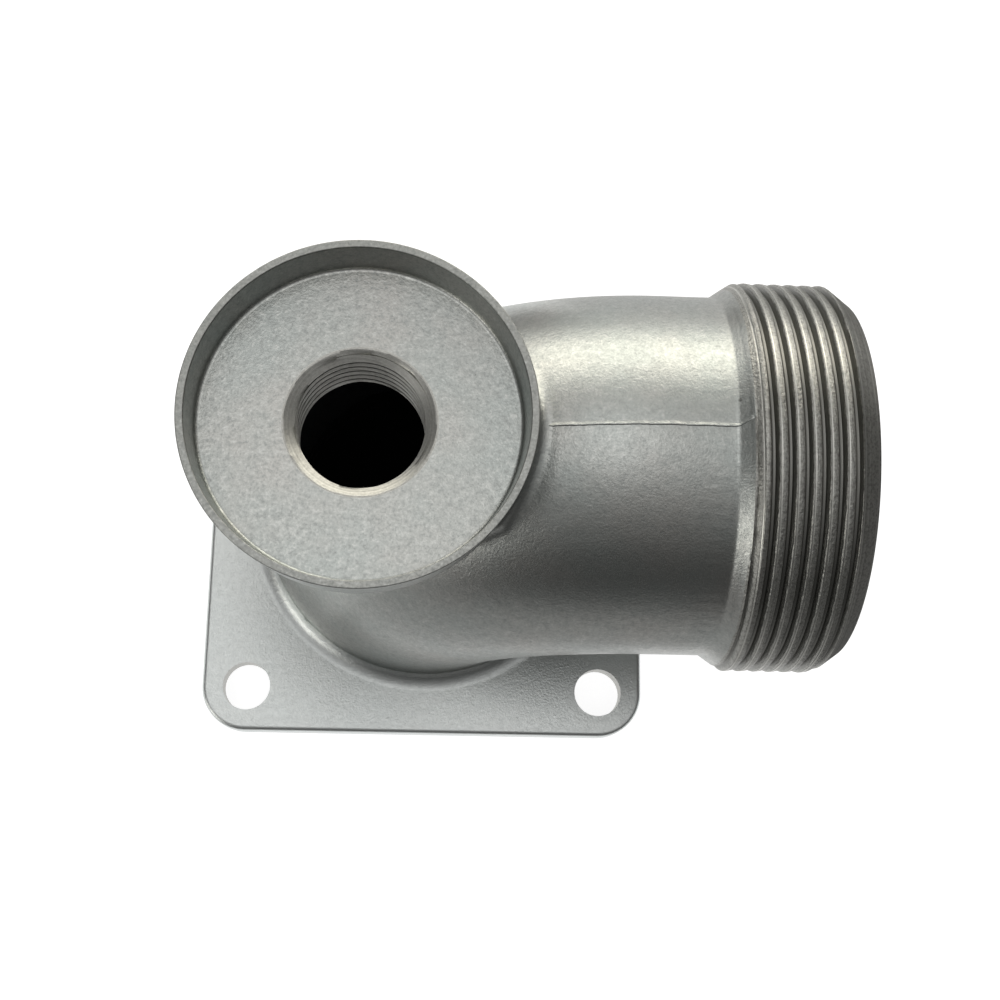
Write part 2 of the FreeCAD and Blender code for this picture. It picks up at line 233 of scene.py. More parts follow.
def filler_thread():
    """Thread cut into the filler hole, a ribbon whose rows follow its helix down the bore.

    From the crests at the bore's radius the flanks fall outwards to the roots. The radius is
    the larger of that profile and the chamfer, a cone at the hole's mouth.
    """
    first = np.floor((BORE_BOTTOM - RECESS_FLOOR) / FILLER_PITCH) - 1
    rows = ((np.arange(first, 2)[:, None] + FILLER_ROWS) * FILLER_PITCH).ravel() + RECESS_FLOOR
    angle = np.broadcast_to(np.linspace(0, 2 * pi, FILLER_COLUMNS + 1), (rows.size, FILLER_COLUMNS + 1))
    shift = FILLER_PITCH * angle / (2 * pi)
    height = np.clip(rows[:, None] + shift, BORE_BOTTOM, RECESS_FLOOR)
    away = np.abs(((height - shift - RECESS_FLOOR) / FILLER_PITCH + 0.5) % 1.0 - 0.5)
    fall = np.clip((away - FILLER_CREST / 2) / (FILLER_FLANK_END - FILLER_CREST / 2), 0, 1)
    chamfer = np.interp(height, (CHAMFER_BOTTOM, RECESS_FLOOR), (BORE_RADIUS, CHAMFER_RADIUS))
    radius = np.maximum(chamfer, BORE_RADIUS + FILLER_DEPTH * fall)
    radius = np.where(height <= BORE_BOTTOM, BORE_RADIUS, radius)
    return height[::-1], radius[::-1], angle[::-1]


def shape_of(points, finish):
    """Points, faces and finish numbers of a grid of points."""
    rows, columns = points.shape[:2]
    faces = grid_faces(rows, columns)
    return points.reshape(-1, 3), faces, np.full(len(faces), finish)


def casting_without_ends(node):
    """Casting without its threaded end, rim, recess and filler bore, as points and triangles."""
    mesh = bmesh.new()
    mesh.from_mesh(node.data)
    bmesh.ops.remove_doubles(mesh, verts=mesh.verts, dist=SLIVER)
    for place, direction in (((OUTLET_CUT, 0, 0), (1, 0, 0)), ((0, 0, RIM_CUT), (0, 0, 1))):
        whole = mesh.verts[:] + mesh.edges[:] + mesh.faces[:]
        plane = {"plane_co": place, "plane_no": direction}
        bmesh.ops.bisect_plane(mesh, geom=whole, dist=0.1 * HAIR, clear_outer=True, **plane)
    bmesh.ops.triangulate(mesh, faces=mesh.faces)
    cut = bpy.data.meshes.new("cut casting")
    mesh.to_mesh(cut)
    mesh.free()
    points = np.empty(len(cut.vertices) * 3)
    cut.vertices.foreach_get("co", points)
    points = points.reshape(-1, 3)
    faces = np.empty(len(cut.polygons) * 3, dtype=int)
    cut.polygons.foreach_get("vertices", faces)
    faces = faces.reshape(-1, 3)
    bpy.data.meshes.remove(cut)
    middle = points[faces].mean(axis=1)
    from_filler = np.hypot(middle[:, 0] - FILLER_AXIS, middle[:, 1])
    recess = (from_filler < RECESS_REACH) & (middle[:, 2] > RECESS_CUT)
    bore = (from_filler < CAVITY_RADIUS + HAIR) & (middle[:, 2] > BORE_BOTTOM - 10 * HAIR)
    faces = faces[~(recess | bore)]
    return points, faces


def finish_of_casting(points, faces):
    """Finish of each triangle of the casting, by where it lies.

    The water passage and the cavity under the filler hole are core skin, the sealing face and
    the bolt holes are turned, and all else is cast skin.
    """
    x, y, z = points[faces].mean(axis=1).T
    reach = PASSAGE_RADIUS + FLAKE
    in_pipe = (x > BEND_RADIUS) & (np.hypot(y, z - OUTLET_HEIGHT) < reach)
    from_line = np.hypot(np.hypot(x - BEND_RADIUS, z - BEND_FOOT) - BEND_RADIUS, y)
    in_bend = (x <= BEND_RADIUS) & (z > BEND_FOOT) & (from_line < reach)
    in_inlet = (z <= BEND_FOOT) & (z > 10 * HAIR) & (np.hypot(x, y) < reach)
    in_cavity = np.hypot(x - FILLER_AXIS, y) < CAVITY_RADIUS + FLAKE
    in_cavity &= (z < BORE_BOTTOM + FLAKE) & (z > CAVITY_FOOT)
    in_hole = np.hypot(np.abs(x) - BOLT_REACH, np.abs(y) - BOLT_REACH) < BOLT_HOLE
    in_hole &= z < BOLT_WALL
    finish = np.full(len(faces), SKIN)
    finish[(z < 10 * HAIR) | in_hole] = TURNED
    finish[in_pipe | in_bend | in_inlet | in_cavity] = CORE
    return finish


def border_points(faces):
    """Numbers of the points on edges that belong to one triangle only."""
    edges = np.sort(np.concatenate((faces[:, (0, 1)], faces[:, (1, 2)], faces[:, (2, 0)])), axis=1)
    edges, counts = np.unique(edges, axis=0, return_counts=True)
    return np.unique(edges[counts == 1])


def stitched(points, ring, other, angle_of):
    """Triangles between two closed rings of points about one axis.

    Both rings are sorted by angle. Each edge of one ring gets a triangle to the point of the
    other ring that is current at the edge's middle angle, and the same the other way.
    """
    rings = []
    for numbers in (ring, other):
        angle = angle_of(points[numbers]) % (2 * pi)
        order = np.argsort(angle)
        rings.append((numbers[order], angle[order]))
    triangles = []
    for (ours, our_angle), (theirs, their_angle), flip in ((*rings, 1), (*rings[::-1], -1)):
        our_middle = (our_angle + np.append(our_angle[1:], our_angle[0] + 2 * pi)) / 2
        their_middle = (their_angle + np.append(their_angle[1:], their_angle[0] + 2 * pi)) / 2
        apex = theirs[np.searchsorted(their_middle, our_middle) % theirs.size]
        triangles.append(np.stack((ours, np.roll(ours, -1), apex), axis=1)[:, ::flip])
    return np.concatenate(triangles)


def angle_about_outlet(points):
    """Angle of points about the outlet's axis."""
    return np.arctan2(points[:, 2] - OUTLET_HEIGHT, -points[:, 1])


def angle_about_filler(points):
    """Angle of points about the filler's axis."""
    return np.arctan2(points[:, 1], points[:, 0] - FILLER_AXIS)


def joined(shapes):
    """One set of points, faces as lists and finishes from several shapes."""
    starts = np.cumsum([0] + [len(points) for points, _, _ in shapes])
    points = np.concatenate([points for points, _, _ in shapes])
    faces = [row for start, (_, rows, _) in zip(starts, shapes) for row in (rows + start).tolist()]
    return points, faces, np.concatenate([finish for _, _, finish in shapes])


def make_piece(name, points, faces, finishes, materials, sharp=35.0):
    """Object from points and faces, with doubles merged and faces outwards.

    It is shaded smooth, except over edges that are sharper than the given angle in degrees.
    """
    mesh = bpy.data.meshes.new(name)
    mesh.from_pydata(points.tolist(), [], faces)
    mesh.polygons.foreach_set("material_index", finishes)
    for material in materials:
        mesh.materials.append(material)
    whole = bmesh.new()
    whole.from_mesh(mesh)
    bmesh.ops.remove_doubles(whole, verts=whole.verts, dist=HAIR)
    bmesh.ops.recalc_face_normals(whole, faces=whole.faces)
    whole.to_mesh(mesh)
    whole.free()
    mesh.shade_smooth()
    mesh.set_sharp_from_angle(angle=radians(sharp))
    piece = bpy.data.objects.new(name, mesh)
    bpy.context.scene.collection.objects.link(piece)
    weighted = piece.modifiers.new("even shading", "WEIGHTED_NORMAL")
    weighted.mode = "FACE_AREA"
    weighted.keep_sharp = True
    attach(piece, "root")
    return piece


class Nodes:
    """Node tree of a material, written one node at a time."""

    def __init__(self, name):
        self.material = bpy.data.materials.new(name)
        self.material.use_nodes = True
        self.tree = self.material.node_tree
        self.tree.nodes.clear()

    def add(self, kind, inputs=None, **settings):
        """Adds a node, sets its properties, and fills its inputs with values or other nodes' outputs."""
        node = self.tree.nodes.new("ShaderNode" + kind)
        for setting, given in settings.items():
            setattr(node, setting, given)
        for socket, given in (inputs or {}).items():
            if isinstance(given, bpy.types.NodeSocket):
                self.tree.links.new(given, node.inputs[socket])
            else:
                node.inputs[socket].default_value = given
        return node.outputs[0] if node.outputs else None

    def blend(self, share, first, second):
        """Colour between two colours, by a share from 0 to 1."""
        mix = self.tree.nodes.new("ShaderNodeMix")
        mix.data_type = "RGBA"
        sockets = [socket for socket in mix.inputs if socket.enabled]
        for socket, given in zip(sockets, (share, first, second)):
            if isinstance(given, bpy.types.NodeSocket):
                self.tree.links.new(given, socket)
            else:
                socket.default_value = given
        return next(socket for socket in mix.outputs if socket.enabled)

    def between(self, value, low, high, to_low=0.0, to_high=1.0, smooth=False):
        """Value carried from one range to another and held there."""
        kind = "SMOOTHSTEP" if smooth else "LINEAR"
        inputs = {"Value": value, "From Min": low, "From Max": high, "To Min": to_low, "To Max": to_high}
        return self.add("MapRange", inputs, interpolation_type=kind)

    def ramp(self, value, places, levels):
        """Level read off a broken line through the given places and levels."""
        share = self.between(value, places[0], places[-1])
        ramp = self.tree.nodes.new("ShaderNodeValToRGB")
        self.tree.links.new(share, ramp.inputs["Fac"])
        spots = ramp.color_ramp.elements
        while len(spots) < len(places):
            spots.new(0.5)
        for spot, place, level in zip(spots, places, levels):
            spot.position = (place - places[0]) / (places[-1] - places[0])
            spot.color = (level, level, level, 1.0)
        return ramp.outputs["Color"]

    def math(self, operation, first, second=0.0):
        """Sum, product or another operation on two values."""
        return self.add("Math", {0: first, 1: second}, operation=operation)

    def distance(self, first, second):
        """Root of the sum of two values' squares."""
        squares = [self.math("MULTIPLY", value, value) for value in (first, second)]
        return self.math("SQRT", self.math("ADD", *squares))

    def straight(self, value, first, second):
        """Level on the straight line through two points, each a value and its level."""
        slope = (second[1] - first[1]) / (second[0] - first[0])
        inputs = {0: value, 1: slope, 2: first[1] - first[0] * slope}
        return self.add("Math", inputs, operation="MULTIPLY_ADD")

    def object_place(self):
        """Place on the object, in metres."""
        return self.add("TexCoord").node.outputs["Object"]

    def noise(self, place, scale, detail, roughness):
        """Noise over a place, with so many grains to the metre."""
        inputs = {"Vector": place, "Scale": scale, "Detail": detail, "Roughness": roughness}
        return self.add("TexNoise", inputs)

    def relief(self, height, strength, depth):
        """Bump of a depth in metres from a height between 0 and 1."""
        return self.add("Bump", {"Strength": strength, "Distance": depth, "Height": height})

    def metal(self, base, rough, bump, metallic=1.0):
        """Finished material from its colour, roughness, bump and share of metal."""
        inputs = {"Base Color": base, "Roughness": rough, "Normal": bump, "Metallic": metallic}
        self.add("OutputMaterial", {"Surface": self.add("BsdfPrincipled", inputs)})
        return self.material


# Linear colours of the cast skin, the painted light on the flange, and the heights between which that
# painted light fades.
GREENISH_SKIN = (0.395, 0.420, 0.405, 1.0)
WARM_SKIN = (0.43, 0.43, 0.41, 1.0)
DARK_SKIN = (0.33, 0.345, 0.335, 1.0)
BRIGHT_SKIN = (0.50, 0.51, 0.49, 1.0)
# Painted light: a pale bluish grey blended into the flange's skin, standing in for the brighter light it
# catches.
FLANGE_PAINTED_LIGHT = (0.66, 0.69, 0.685, 1.0)
PIN_PIT = (0.10, 0.10, 0.09, 1.0)
FLANGE_LIGHT_FULL = 4.5 * MM
FLANGE_LIGHT_GONE = 6.5 * MM

# Linear colours of the turned metal: tool lines, blotches, torn specks, the painted highlight on crest
# edges and the painted shade in grooves.
DARK_LINE = (0.34, 0.34, 0.32, 1.0)
BRIGHT_LINE = (0.52, 0.52, 0.49, 1.0)
DULL_BLOTCH = (0.25, 0.245, 0.23, 1.0)
TORN_SPECK = (0.17, 0.17, 0.155, 1.0)
CREST_PAINTED_HIGHLIGHT = (0.62, 0.62, 0.58, 1.0)
GROOVE_PAINTED_SHADE = (0.22, 0.22, 0.205, 1.0)

# Place along X that parts the turned outlet from the turned filler hole.
OUTLET_SIDE = 40 * MM


def cast_skin():
    """Blasted skin of the casting: satin metal with a fine grain, pits and a cloudy tint.

    Two noises of 0.35 and 0.9 mm grain drive bump, colour and roughness, a slow one shifts the
    tint between greenish grey and warm grey, and sparse cells make dark pin pits. The flange and
    the foot of the neck are painted paler, a painted light for the brighter light they catch.
    """
    nodes = Nodes("cast skin")
    place = nodes.object_place()
    grain = nodes.noise(place, 2800.0, 3.0, 0.6)
    coarse = nodes.noise(place, 1000.0, 2.0, 0.55)
    cloud = nodes.noise(place, 70.0, 3.0, 0.55)
    cell = nodes.add("TexVoronoi", {"Vector": place, "Scale": 260.0, "Randomness": 1.0})
    pit_size = nodes.between(cell.node.outputs["Color"], 0.72, 1.0, 0.0, 0.11)
    pit = nodes.math("LESS_THAN", cell, pit_size)
    speck = nodes.math("ADD", nodes.math("MULTIPLY", grain, 0.6), nodes.math("MULTIPLY", coarse, 0.4))
    tint = nodes.blend(nodes.between(cloud, 0.35, 0.65), GREENISH_SKIN, WARM_SKIN)
    dark = nodes.blend(nodes.between(speck, 0.34, 0.50), DARK_SKIN, tint)
    lit = nodes.blend(nodes.between(speck, 0.52, 0.68), dark, BRIGHT_SKIN)
    above_face = nodes.add("SeparateXYZ", {"Vector": place}).node.outputs["Z"]
    # Painted light: the skin is blended towards the pale colour on the flange and fades out up the neck.
    flange_light_share = nodes.between(above_face, FLANGE_LIGHT_FULL, FLANGE_LIGHT_GONE, 0.75, 0.0)
    lit = nodes.blend(flange_light_share, lit, FLANGE_PAINTED_LIGHT)
    base = nodes.blend(nodes.math("MULTIPLY", pit, 0.6), lit, PIN_PIT)
    height = nodes.math("SUBTRACT", speck, nodes.math("MULTIPLY", pit, 0.8))
    bump = nodes.relief(height, 0.55, 0.12 * MM)
    return nodes.metal(base, nodes.between(speck, 0.3, 0.7, 0.40, 0.29), bump)


def turned_metal():
    """Machined metal: brighter than the skin, with fine tool lines round each axis.

    Noise along the outlet's axis and outwards from the filler's axis gives the lines their
    height and gloss, and a fine grain breaks them up. On the male thread the depth below the
    blank's outline paints shade into the grooves, and the place in the pitch paints a highlight
    on one crest edge.
    """
    nodes = Nodes("turned metal")
    place = nodes.object_place()
    x, y, z = nodes.add("SeparateXYZ", {"Vector": place}).node.outputs
    from_filler = nodes.distance(nodes.math("ADD", x, -FILLER_AXIS), y)
    above = nodes.math("ADD", z, -OUTLET_HEIGHT)
    from_outlet = nodes.distance(above, y)
    outlet_line = nodes.math("ADD", x, from_outlet)
    filler_line = nodes.math("SUBTRACT", z, from_filler)
    at_outlet = nodes.math("GREATER_THAN", x, OUTLET_SIDE)
    line_place = nodes.add("Mix", {0: at_outlet, 2: filler_line, 3: outlet_line})
    line_inputs = {"W": line_place, "Scale": 9000.0, "Detail": 2.0, "Roughness": 0.7}
    lines = nodes.add("TexNoise", line_inputs, noise_dimensions="1D")
    grain = nodes.noise(place, 2600.0, 3.0, 0.6)
    blotch = nodes.noise(place, 420.0, 3.0, 0.6)
    mark = nodes.math("ADD", nodes.math("MULTIPLY", lines, 0.6), nodes.math("MULTIPLY", grain, 0.4))
    base = nodes.blend(nodes.between(mark, 0.35, 0.65), DARK_LINE, BRIGHT_LINE)
    base = nodes.blend(nodes.between(blotch, 0.58, 0.72, 0.0, 0.45), base, DULL_BLOTCH)
    cone = nodes.straight(x, (SHOULDER_START, PIPE_RADIUS), (THREAD_START, THREAD_RADIUS))
    taper = nodes.straight(x, (OUTLET_END, MOUTH_RADIUS), (MOUTH_START, THREAD_RADIUS))
    blank = nodes.math("MINIMUM", nodes.math("MINIMUM", cone, taper), THREAD_RADIUS)
    torn = nodes.math("MULTIPLY", nodes.math("SUBTRACT", blotch, 0.5), 0.7 * MM)
    below = nodes.math("ADD", nodes.math("SUBTRACT", blank, from_outlet), torn)
    # Painted shade: the grooves are darkened by their depth below the blank's outline.
    root = nodes.math("MULTIPLY", at_outlet, nodes.between(below, 0.20 * MM, 0.42 * MM))
    turn = nodes.math("DIVIDE", nodes.math("ARCTAN2", above, nodes.math("MULTIPLY", y, -1.0)), 2 * pi)
    pitches = nodes.math("DIVIDE", nodes.math("SUBTRACT", x, THREAD_PHASE), THREAD_PITCH)
    turn = nodes.math("ADD", turn, pitches)
    place_in_turn = nodes.math("FRACT", nodes.math("ADD", turn, 0.5))
    # Painted highlight: a bright band at one place in each turn of the thread, along one edge of the
    # crests.
    edge = nodes.ramp(place_in_turn, (0.0, 0.45, 0.48, 0.53, 0.58, 1.0), (0.0, 0.0, 1.0, 1.0, 0.0, 0.0))
    edge = nodes.math("MULTIPLY", at_outlet, edge)
    speck = nodes.math("MULTIPLY", at_outlet, nodes.between(grain, 0.46, 0.60))
    base = nodes.blend(nodes.math("MULTIPLY", speck, 0.6), base, TORN_SPECK)
    base = nodes.blend(nodes.math("MULTIPLY", edge, 0.7), base, CREST_PAINTED_HIGHLIGHT)
    base = nodes.blend(root, base, GROOVE_PAINTED_SHADE)
    rough = nodes.between(mark, 0.3, 0.7, 0.46, 0.34)
    rough = nodes.between(edge, 0.0, 1.0, rough, 0.30)
    rough = nodes.between(root, 0.0, 1.0, rough, 0.38)
    coarse = nodes.noise(place, 1900.0, 2.0, 0.6)
    crest = nodes.math("SUBTRACT", 1.0, nodes.math("MAXIMUM", root, edge))
    crest = nodes.math("MULTIPLY", crest, nodes.math("LESS_THAN", x, MOUTH_START + 0.3 * MM))
    crest = nodes.math("MULTIPLY", crest, at_outlet)
    height = nodes.math("ADD", mark, nodes.math("MULTIPLY", nodes.math("MULTIPLY", coarse, crest), 4.0))
    return nodes.metal(base, rough, nodes.relief(height, 0.5, 0.06 * MM))


def ground_rim():
    """Rim that was ground flat: a warm grey with faint bright and dark specks of 0.3 mm."""
    nodes = Nodes("ground rim")
    place = nodes.object_place()
    speck = nodes.noise(place, 2400.0, 3.0, 0.65)
    cloud = nodes.noise(place, 260.0, 2.0, 0.5)
    warm = nodes.blend(cloud, (0.28, 0.29, 0.28, 1.0), (0.38, 0.385, 0.365, 1.0))
    dark = nodes.blend(nodes.between(speck, 0.34, 0.50), (0.27, 0.28, 0.27, 1.0), warm)
    base = nodes.blend(nodes.between(speck, 0.54, 0.70), dark, (0.41, 0.42, 0.405, 1.0))
    rough = nodes.between(speck, 0.3, 0.7, 0.50, 0.34)
    return nodes.metal(base, rough, nodes.relief(speck, 0.4, 0.08 * MM))


def core_skin():
    """Rough skin of the passage, dull near the mouth, with painted shade further in that makes it almost
    black.
    """
    nodes = Nodes("core skin")
    place = nodes.object_place()
    split = nodes.add("SeparateXYZ", {"Vector": place})
    grain = nodes.noise(place, 900.0, 4.0, 0.65)
    # Painted shade: the passage darkens to almost black away from the outlet's mouth.
    painted_shade_fade = nodes.between(split.node.outputs["X"], 30 * MM, 52 * MM, smooth=True)
    near = nodes.blend(grain, (0.20, 0.20, 0.19, 1.0), (0.34, 0.34, 0.325, 1.0))
    far = nodes.blend(grain, (0.010, 0.011, 0.013, 1.0), (0.022, 0.024, 0.028, 1.0))
    base = nodes.blend(painted_shade_fade, far, near)
    return nodes.metal(base, 0.75, nodes.relief(grain, 0.7, 0.2 * MM), metallic=0.35)


def build_casting(materials):
    """Whole casting as one closed piece.

    The plain casting with its ends cut away, the outlet's end and the filler cup, both turned
    round their axes, are joined by bands of triangles.
    """
    cast_points, cast_faces = casting_without_ends(casting_node)
    shapes = [(cast_points, cast_faces, finish_of_casting(cast_points, cast_faces))]

    shoulder = softened(
        [
            (OUTLET_SEAM, PIPE_RADIUS),
            (SHOULDER_START, PIPE_RADIUS),
            (RUNOUT_START, blank_radius(RUNOUT_START)),
        ],
        (0.4 * MM,),
    )
    shapes.append(shape_of(outlet_points(*turned_surface(shoulder, COLUMNS)), SKIN))
    along, radius, angle = outlet_thread()
    ribbon, ribbon_faces, _ = shape_of(outlet_points(along, radius, angle), TURNED)
    on_cone = ribbon[ribbon_faces].mean(axis=1)[:, 0] < TURNED_START
    shapes.append((ribbon, ribbon_faces, np.where(on_cone, SKIN, TURNED)))
    bored = (OUTLET_END - 6 * MM, PASSAGE_RADIUS)
    mouth = softened([(OUTLET_END, MOUTH_RADIUS), (OUTLET_END, PASSAGE_RADIUS), bored], (0.3 * MM,))
    shapes.append(shape_of(outlet_points(*turned_surface(mouth, COLUMNS)), TURNED))
    bore = [bored, (OUTLET_SEAM, PASSAGE_RADIUS)]
    shapes.append(shape_of(outlet_points(*turned_surface(bore, COLUMNS)), CORE))

    wall_slope = tan(radians(6))
    recess_slope = tan(radians(7))
    floor_radius = RIM_INNER_RADIUS - (RIM_TOP - RECESS_FLOOR) * recess_slope
    edge = 0.3 * MM
    rim_outside = (RIM_TOP - edge, RIM_RADIUS - edge * wall_slope)
    rim_inside = (RIM_TOP - edge, RIM_INNER_RADIUS - edge * recess_slope)
    wall = [(RIM_SEAM, RIM_RADIUS - (RIM_TOP - RIM_SEAM) * wall_slope), rim_outside]
    rim_corners = [rim_outside, (RIM_TOP, RIM_RADIUS), (RIM_TOP, RIM_INNER_RADIUS), rim_inside]
    rim = softened(rim_corners, (0.18 * MM, 0.18 * MM))
    faced = (RECESS_FLOOR, CHAMFER_RADIUS + 0.25 * MM)
    recess = softened([rim_inside, (RECESS_FLOOR, floor_radius), faced], (0.6 * MM,))
    lip = [faced, (RECESS_FLOOR, CHAMFER_RADIUS)]
    ledge = [(BORE_BOTTOM, BORE_RADIUS), (BORE_BOTTOM, CAVITY_RADIUS - 0.3 * MM)]
    for profile, finish in ((wall, SKIN), (rim, RIM), (recess, SKIN), (lip, TURNED), (ledge, CORE)):
        shapes.append(shape_of(filler_points(*turned_surface(profile, FILLER_COLUMNS)), finish))
    shapes.append(shape_of(filler_points(*filler_thread()), TURNED))

    points, faces, finishes = joined(shapes)
    border = border_points(cast_faces)
    x, y, z = cast_points[border].T
    at_outlet = np.abs(x - OUTLET_CUT) < HAIR
    at_rim = np.abs(z - RIM_CUT) < HAIR
    from_outlet = np.hypot(y, z - OUTLET_HEIGHT)
    from_filler = np.hypot(x - FILLER_AXIS, y)
    about_outlet = (outlet_points, angle_about_outlet, COLUMNS)
    about_filler = (filler_points, angle_about_filler, FILLER_COLUMNS)
    rings = (
        (at_outlet & (from_outlet > PIPE_MIDDLE), shoulder[0], SKIN, about_outlet),
        (at_outlet & (from_outlet < PIPE_MIDDLE), bore[1], CORE, about_outlet),
        (at_rim & (from_filler > RIM_MIDDLE), wall[0], SKIN, about_filler),
        (from_filler < CAVITY_RADIUS + 10 * HAIR, ledge[1], CORE, about_filler),
    )
    for wanted, (along, radius), finish, (place, angle_of, columns) in rings:
        old = border[wanted]
        angle = np.linspace(0, 2 * pi, columns, endpoint=False)
        ring = place(np.full(columns, along), np.full(columns, radius), angle)
        start = len(points)
        points = np.concatenate((points, ring))
        triangles = stitched(points, old, np.arange(start, start + columns), angle_of)
        faces += triangles.tolist()
        finishes = np.concatenate((finishes, np.full(len(triangles), finish)))
    return make_piece("outlet_elbow_casting", points, faces, finishes, materials)


# Where the parting step begins beside the cup, and how far and how wide it jogs on the cone.
PARTING_START = 14.5 * MM
JOG_LENGTH = 1.6 * MM
JOG_WIDTH = 0.8 * MM


def parting_step(materials):
    """Low step along the top of the outlet where the two halves of the mould met.

    The section rises gently from the far half and falls steeply to the near one. It is carried
    along the crown of the bend, the pipe and the shoulder, and fades at both ends.
    """
    steps = 110
    x = np.linspace(PARTING_START, TURNED_START, steps)
    on_bend = np.sqrt((BEND_RADIUS + PIPE_RADIUS) ** 2 - np.minimum(x - BEND_RADIUS, 0) ** 2)
    crown = np.where(x < BEND_RADIUS, BEND_FOOT + on_bend, OUTLET_HEIGHT + blank_radius(x))
    share = np.linspace(0, 2 * pi, steps)
    fade = np.clip(np.minimum(share, 2 * pi - share) / 0.25, 0, 1)
    ripple = 1 + 0.25 * wave_noise(share, seed=8, lowest=5)
    drift = 0.03 * MM * wave_noise(share, seed=11, tones=4, lowest=2)
    drift = drift + np.interp(x, (SHOULDER_START, SHOULDER_START + JOG_LENGTH), (0.0, JOG_WIDTH))
    across = np.array([0.62, 0.38, 0.12, 0.03, -0.03, -0.14, -0.14, 0.62, 0.62]) * MM
    rise = np.array([-0.02, 0.010, 0.105, 0.125, 0.115, -0.02, -0.25, -0.25, -0.02]) * MM
    rise = np.where(rise > 0, rise * (fade * ripple)[:, None], rise)
    fall = across ** 2 / (2 * PIPE_RADIUS)
    y = drift[:, None] + across[None, :]
    z = crown[:, None] + rise - fall[None, :]
    points = np.stack((np.broadcast_to(x[:, None], y.shape), y, z), axis=-1)
    points[0] = points[0].mean(axis=0)
    points[-1] = points[-1].mean(axis=0)
    body, faces, finish = shape_of(points, SKIN)
    return make_piece("parting_step", body, faces.tolist(), finish, materials, sharp=60.0)


def light_level(tree, strength, camera_strength):
    """Strength that is one value to camera, gloss and transmission rays and another to the rest."""
    path = tree.nodes.new("ShaderNodeLightPath")
    seen = tree.nodes.new("ShaderNodeMath")
    seen.operation = "MAXIMUM"
    tree.links.new(path.outputs["Is Camera Ray"], seen.inputs[0])
    tree.links.new(path.outputs["Is Glossy Ray"], seen.inputs[1])
    through = tree.nodes.new("ShaderNodeMath")
    through.operation = "MAXIMUM"
    tree.links.new(seen.outputs[0], through.inputs[0])
    tree.links.new(path.outputs["Is Transmission Ray"], through.inputs[1])
    level = tree.nodes.new("ShaderNodeMapRange")
    tree.links.new(through.outputs[0], level.inputs["Value"])
    level.inputs["To Min"].default_value = strength
    level.inputs["To Max"].default_value = camera_strength
    return level.outputs[0]


def studio_world():
    """White world, at a plain level to the light that falls on the object."""
    world = bpy.data.worlds.new("studio")
    world.use_nodes = True
    tree = world.node_tree
    background = tree.nodes["Background"]
    background.inputs["Color"].default_value = (1, 1, 1, 1)
    tree.links.new(light_level(tree, 0.7, 1.0), background.inputs["Strength"])
    bpy.context.scene.world = world


# Half the floor's width, its height, and the radius of the painted shade, a black spot on the floor
# under the open inlet.
FLOOR_REACH = 3.0
FLOOR_HEIGHT = -0.1 * MM
INLET_SHADE = 24.5 * MM


def studio_floor():
    """Pale floor that keeps the object's shadow, with painted shade under the open inlet, where it is
    black.

    It lies a hair below the object and is clear from below, so that the underside can be seen.
    """
    reach, height = FLOOR_REACH, FLOOR_HEIGHT
    mesh = bpy.data.meshes.new("floor")
    corners = [(x * reach, y * reach, height) for x, y in ((-1, -1), (1, -1), (1, 1), (-1, 1))]
    mesh.from_pydata(corners, [], [(0, 1, 2, 3)])
    nodes = Nodes("pale floor")
    tree = nodes.tree
    surface = nodes.add("NewGeometry").node.outputs
    away = nodes.add("VectorMath", {0: surface["Position"]}, operation="LENGTH").node.outputs["Value"]
    # Painted shade: within this radius the floor is black and gives no glow, standing in for the shade
    # inside the casting.
    outside = nodes.math("GREATER_THAN", away, INLET_SHADE)
    level = nodes.math("MULTIPLY", light_level(tree, 0.0, 0.90), outside)
    pale = nodes.blend(outside, (0.01, 0.01, 0.01, 1.0), (0.35, 0.35, 0.35, 1.0))
    diffuse = nodes.add("BsdfDiffuse", {"Color": pale})
    glow = nodes.add("Emission", {"Color": (1, 1, 1, 1), "Strength": level})
    both = nodes.add("AddShader", {0: diffuse, 1: glow})
    clear = nodes.add("BsdfTransparent")
    both = nodes.add("MixShader", {0: surface["Backfacing"], 1: both, 2: clear})
    nodes.add("OutputMaterial", {"Surface": both})
    mesh.materials.append(nodes.material)
    floor = bpy.data.objects.new("floor", mesh)
    bpy.context.scene.collection.objects.link(floor)


# Colour of the cards and flags, and the brightest spot of the card overhead.
CARD_WHITE = (1.01, 1.0, 0.99, 1.0)
OVERHEAD_SPOT = (-0.04, 0.06, 0.5)


def studio_flag(name, corners, measure, places, levels):
    """Card or bent flag that only the metal's gloss sees, brighter or darker by where it lies.

    The measure is the angle from straight up about the X axis, positive towards -Y ("turn"),
    the distance towards -Y ("depth") or the distance from the bright spot overhead ("spot").
    """
    mesh = bpy.data.meshes.new(name)
    mesh.from_pydata(corners.reshape(-1, 3).tolist(), [], grid_faces(*corners.shape[:2]).tolist())
    nodes = Nodes(name)
    place = nodes.add("NewGeometry").node.outputs["Position"]
    split = nodes.add("SeparateXYZ", {"Vector": place}).node.outputs
    value = nodes.math("MULTIPLY", split["Y"], -1.0)
    if measure == "turn":
        value = nodes.math("ARCTAN2", value, split["Z"])
    if measure == "spot":
        away = nodes.add("VectorMath", {0: place, 1: OVERHEAD_SPOT}, operation="DISTANCE")
        value = away.node.outputs["Value"]
    level = nodes.ramp(value, places, levels)
    glow = nodes.add("Emission", {"Color": CARD_WHITE, "Strength": level})
    nodes.add("OutputMaterial", {"Surface": glow})
    mesh.materials.append(nodes.material)
    card = bpy.data.objects.new(name, mesh)
    bpy.context.scene.collection.objects.link(card)
    card.visible_camera = False
    card.visible_diffuse = False
    card.visible_shadow = False
    card.visible_transmission = False


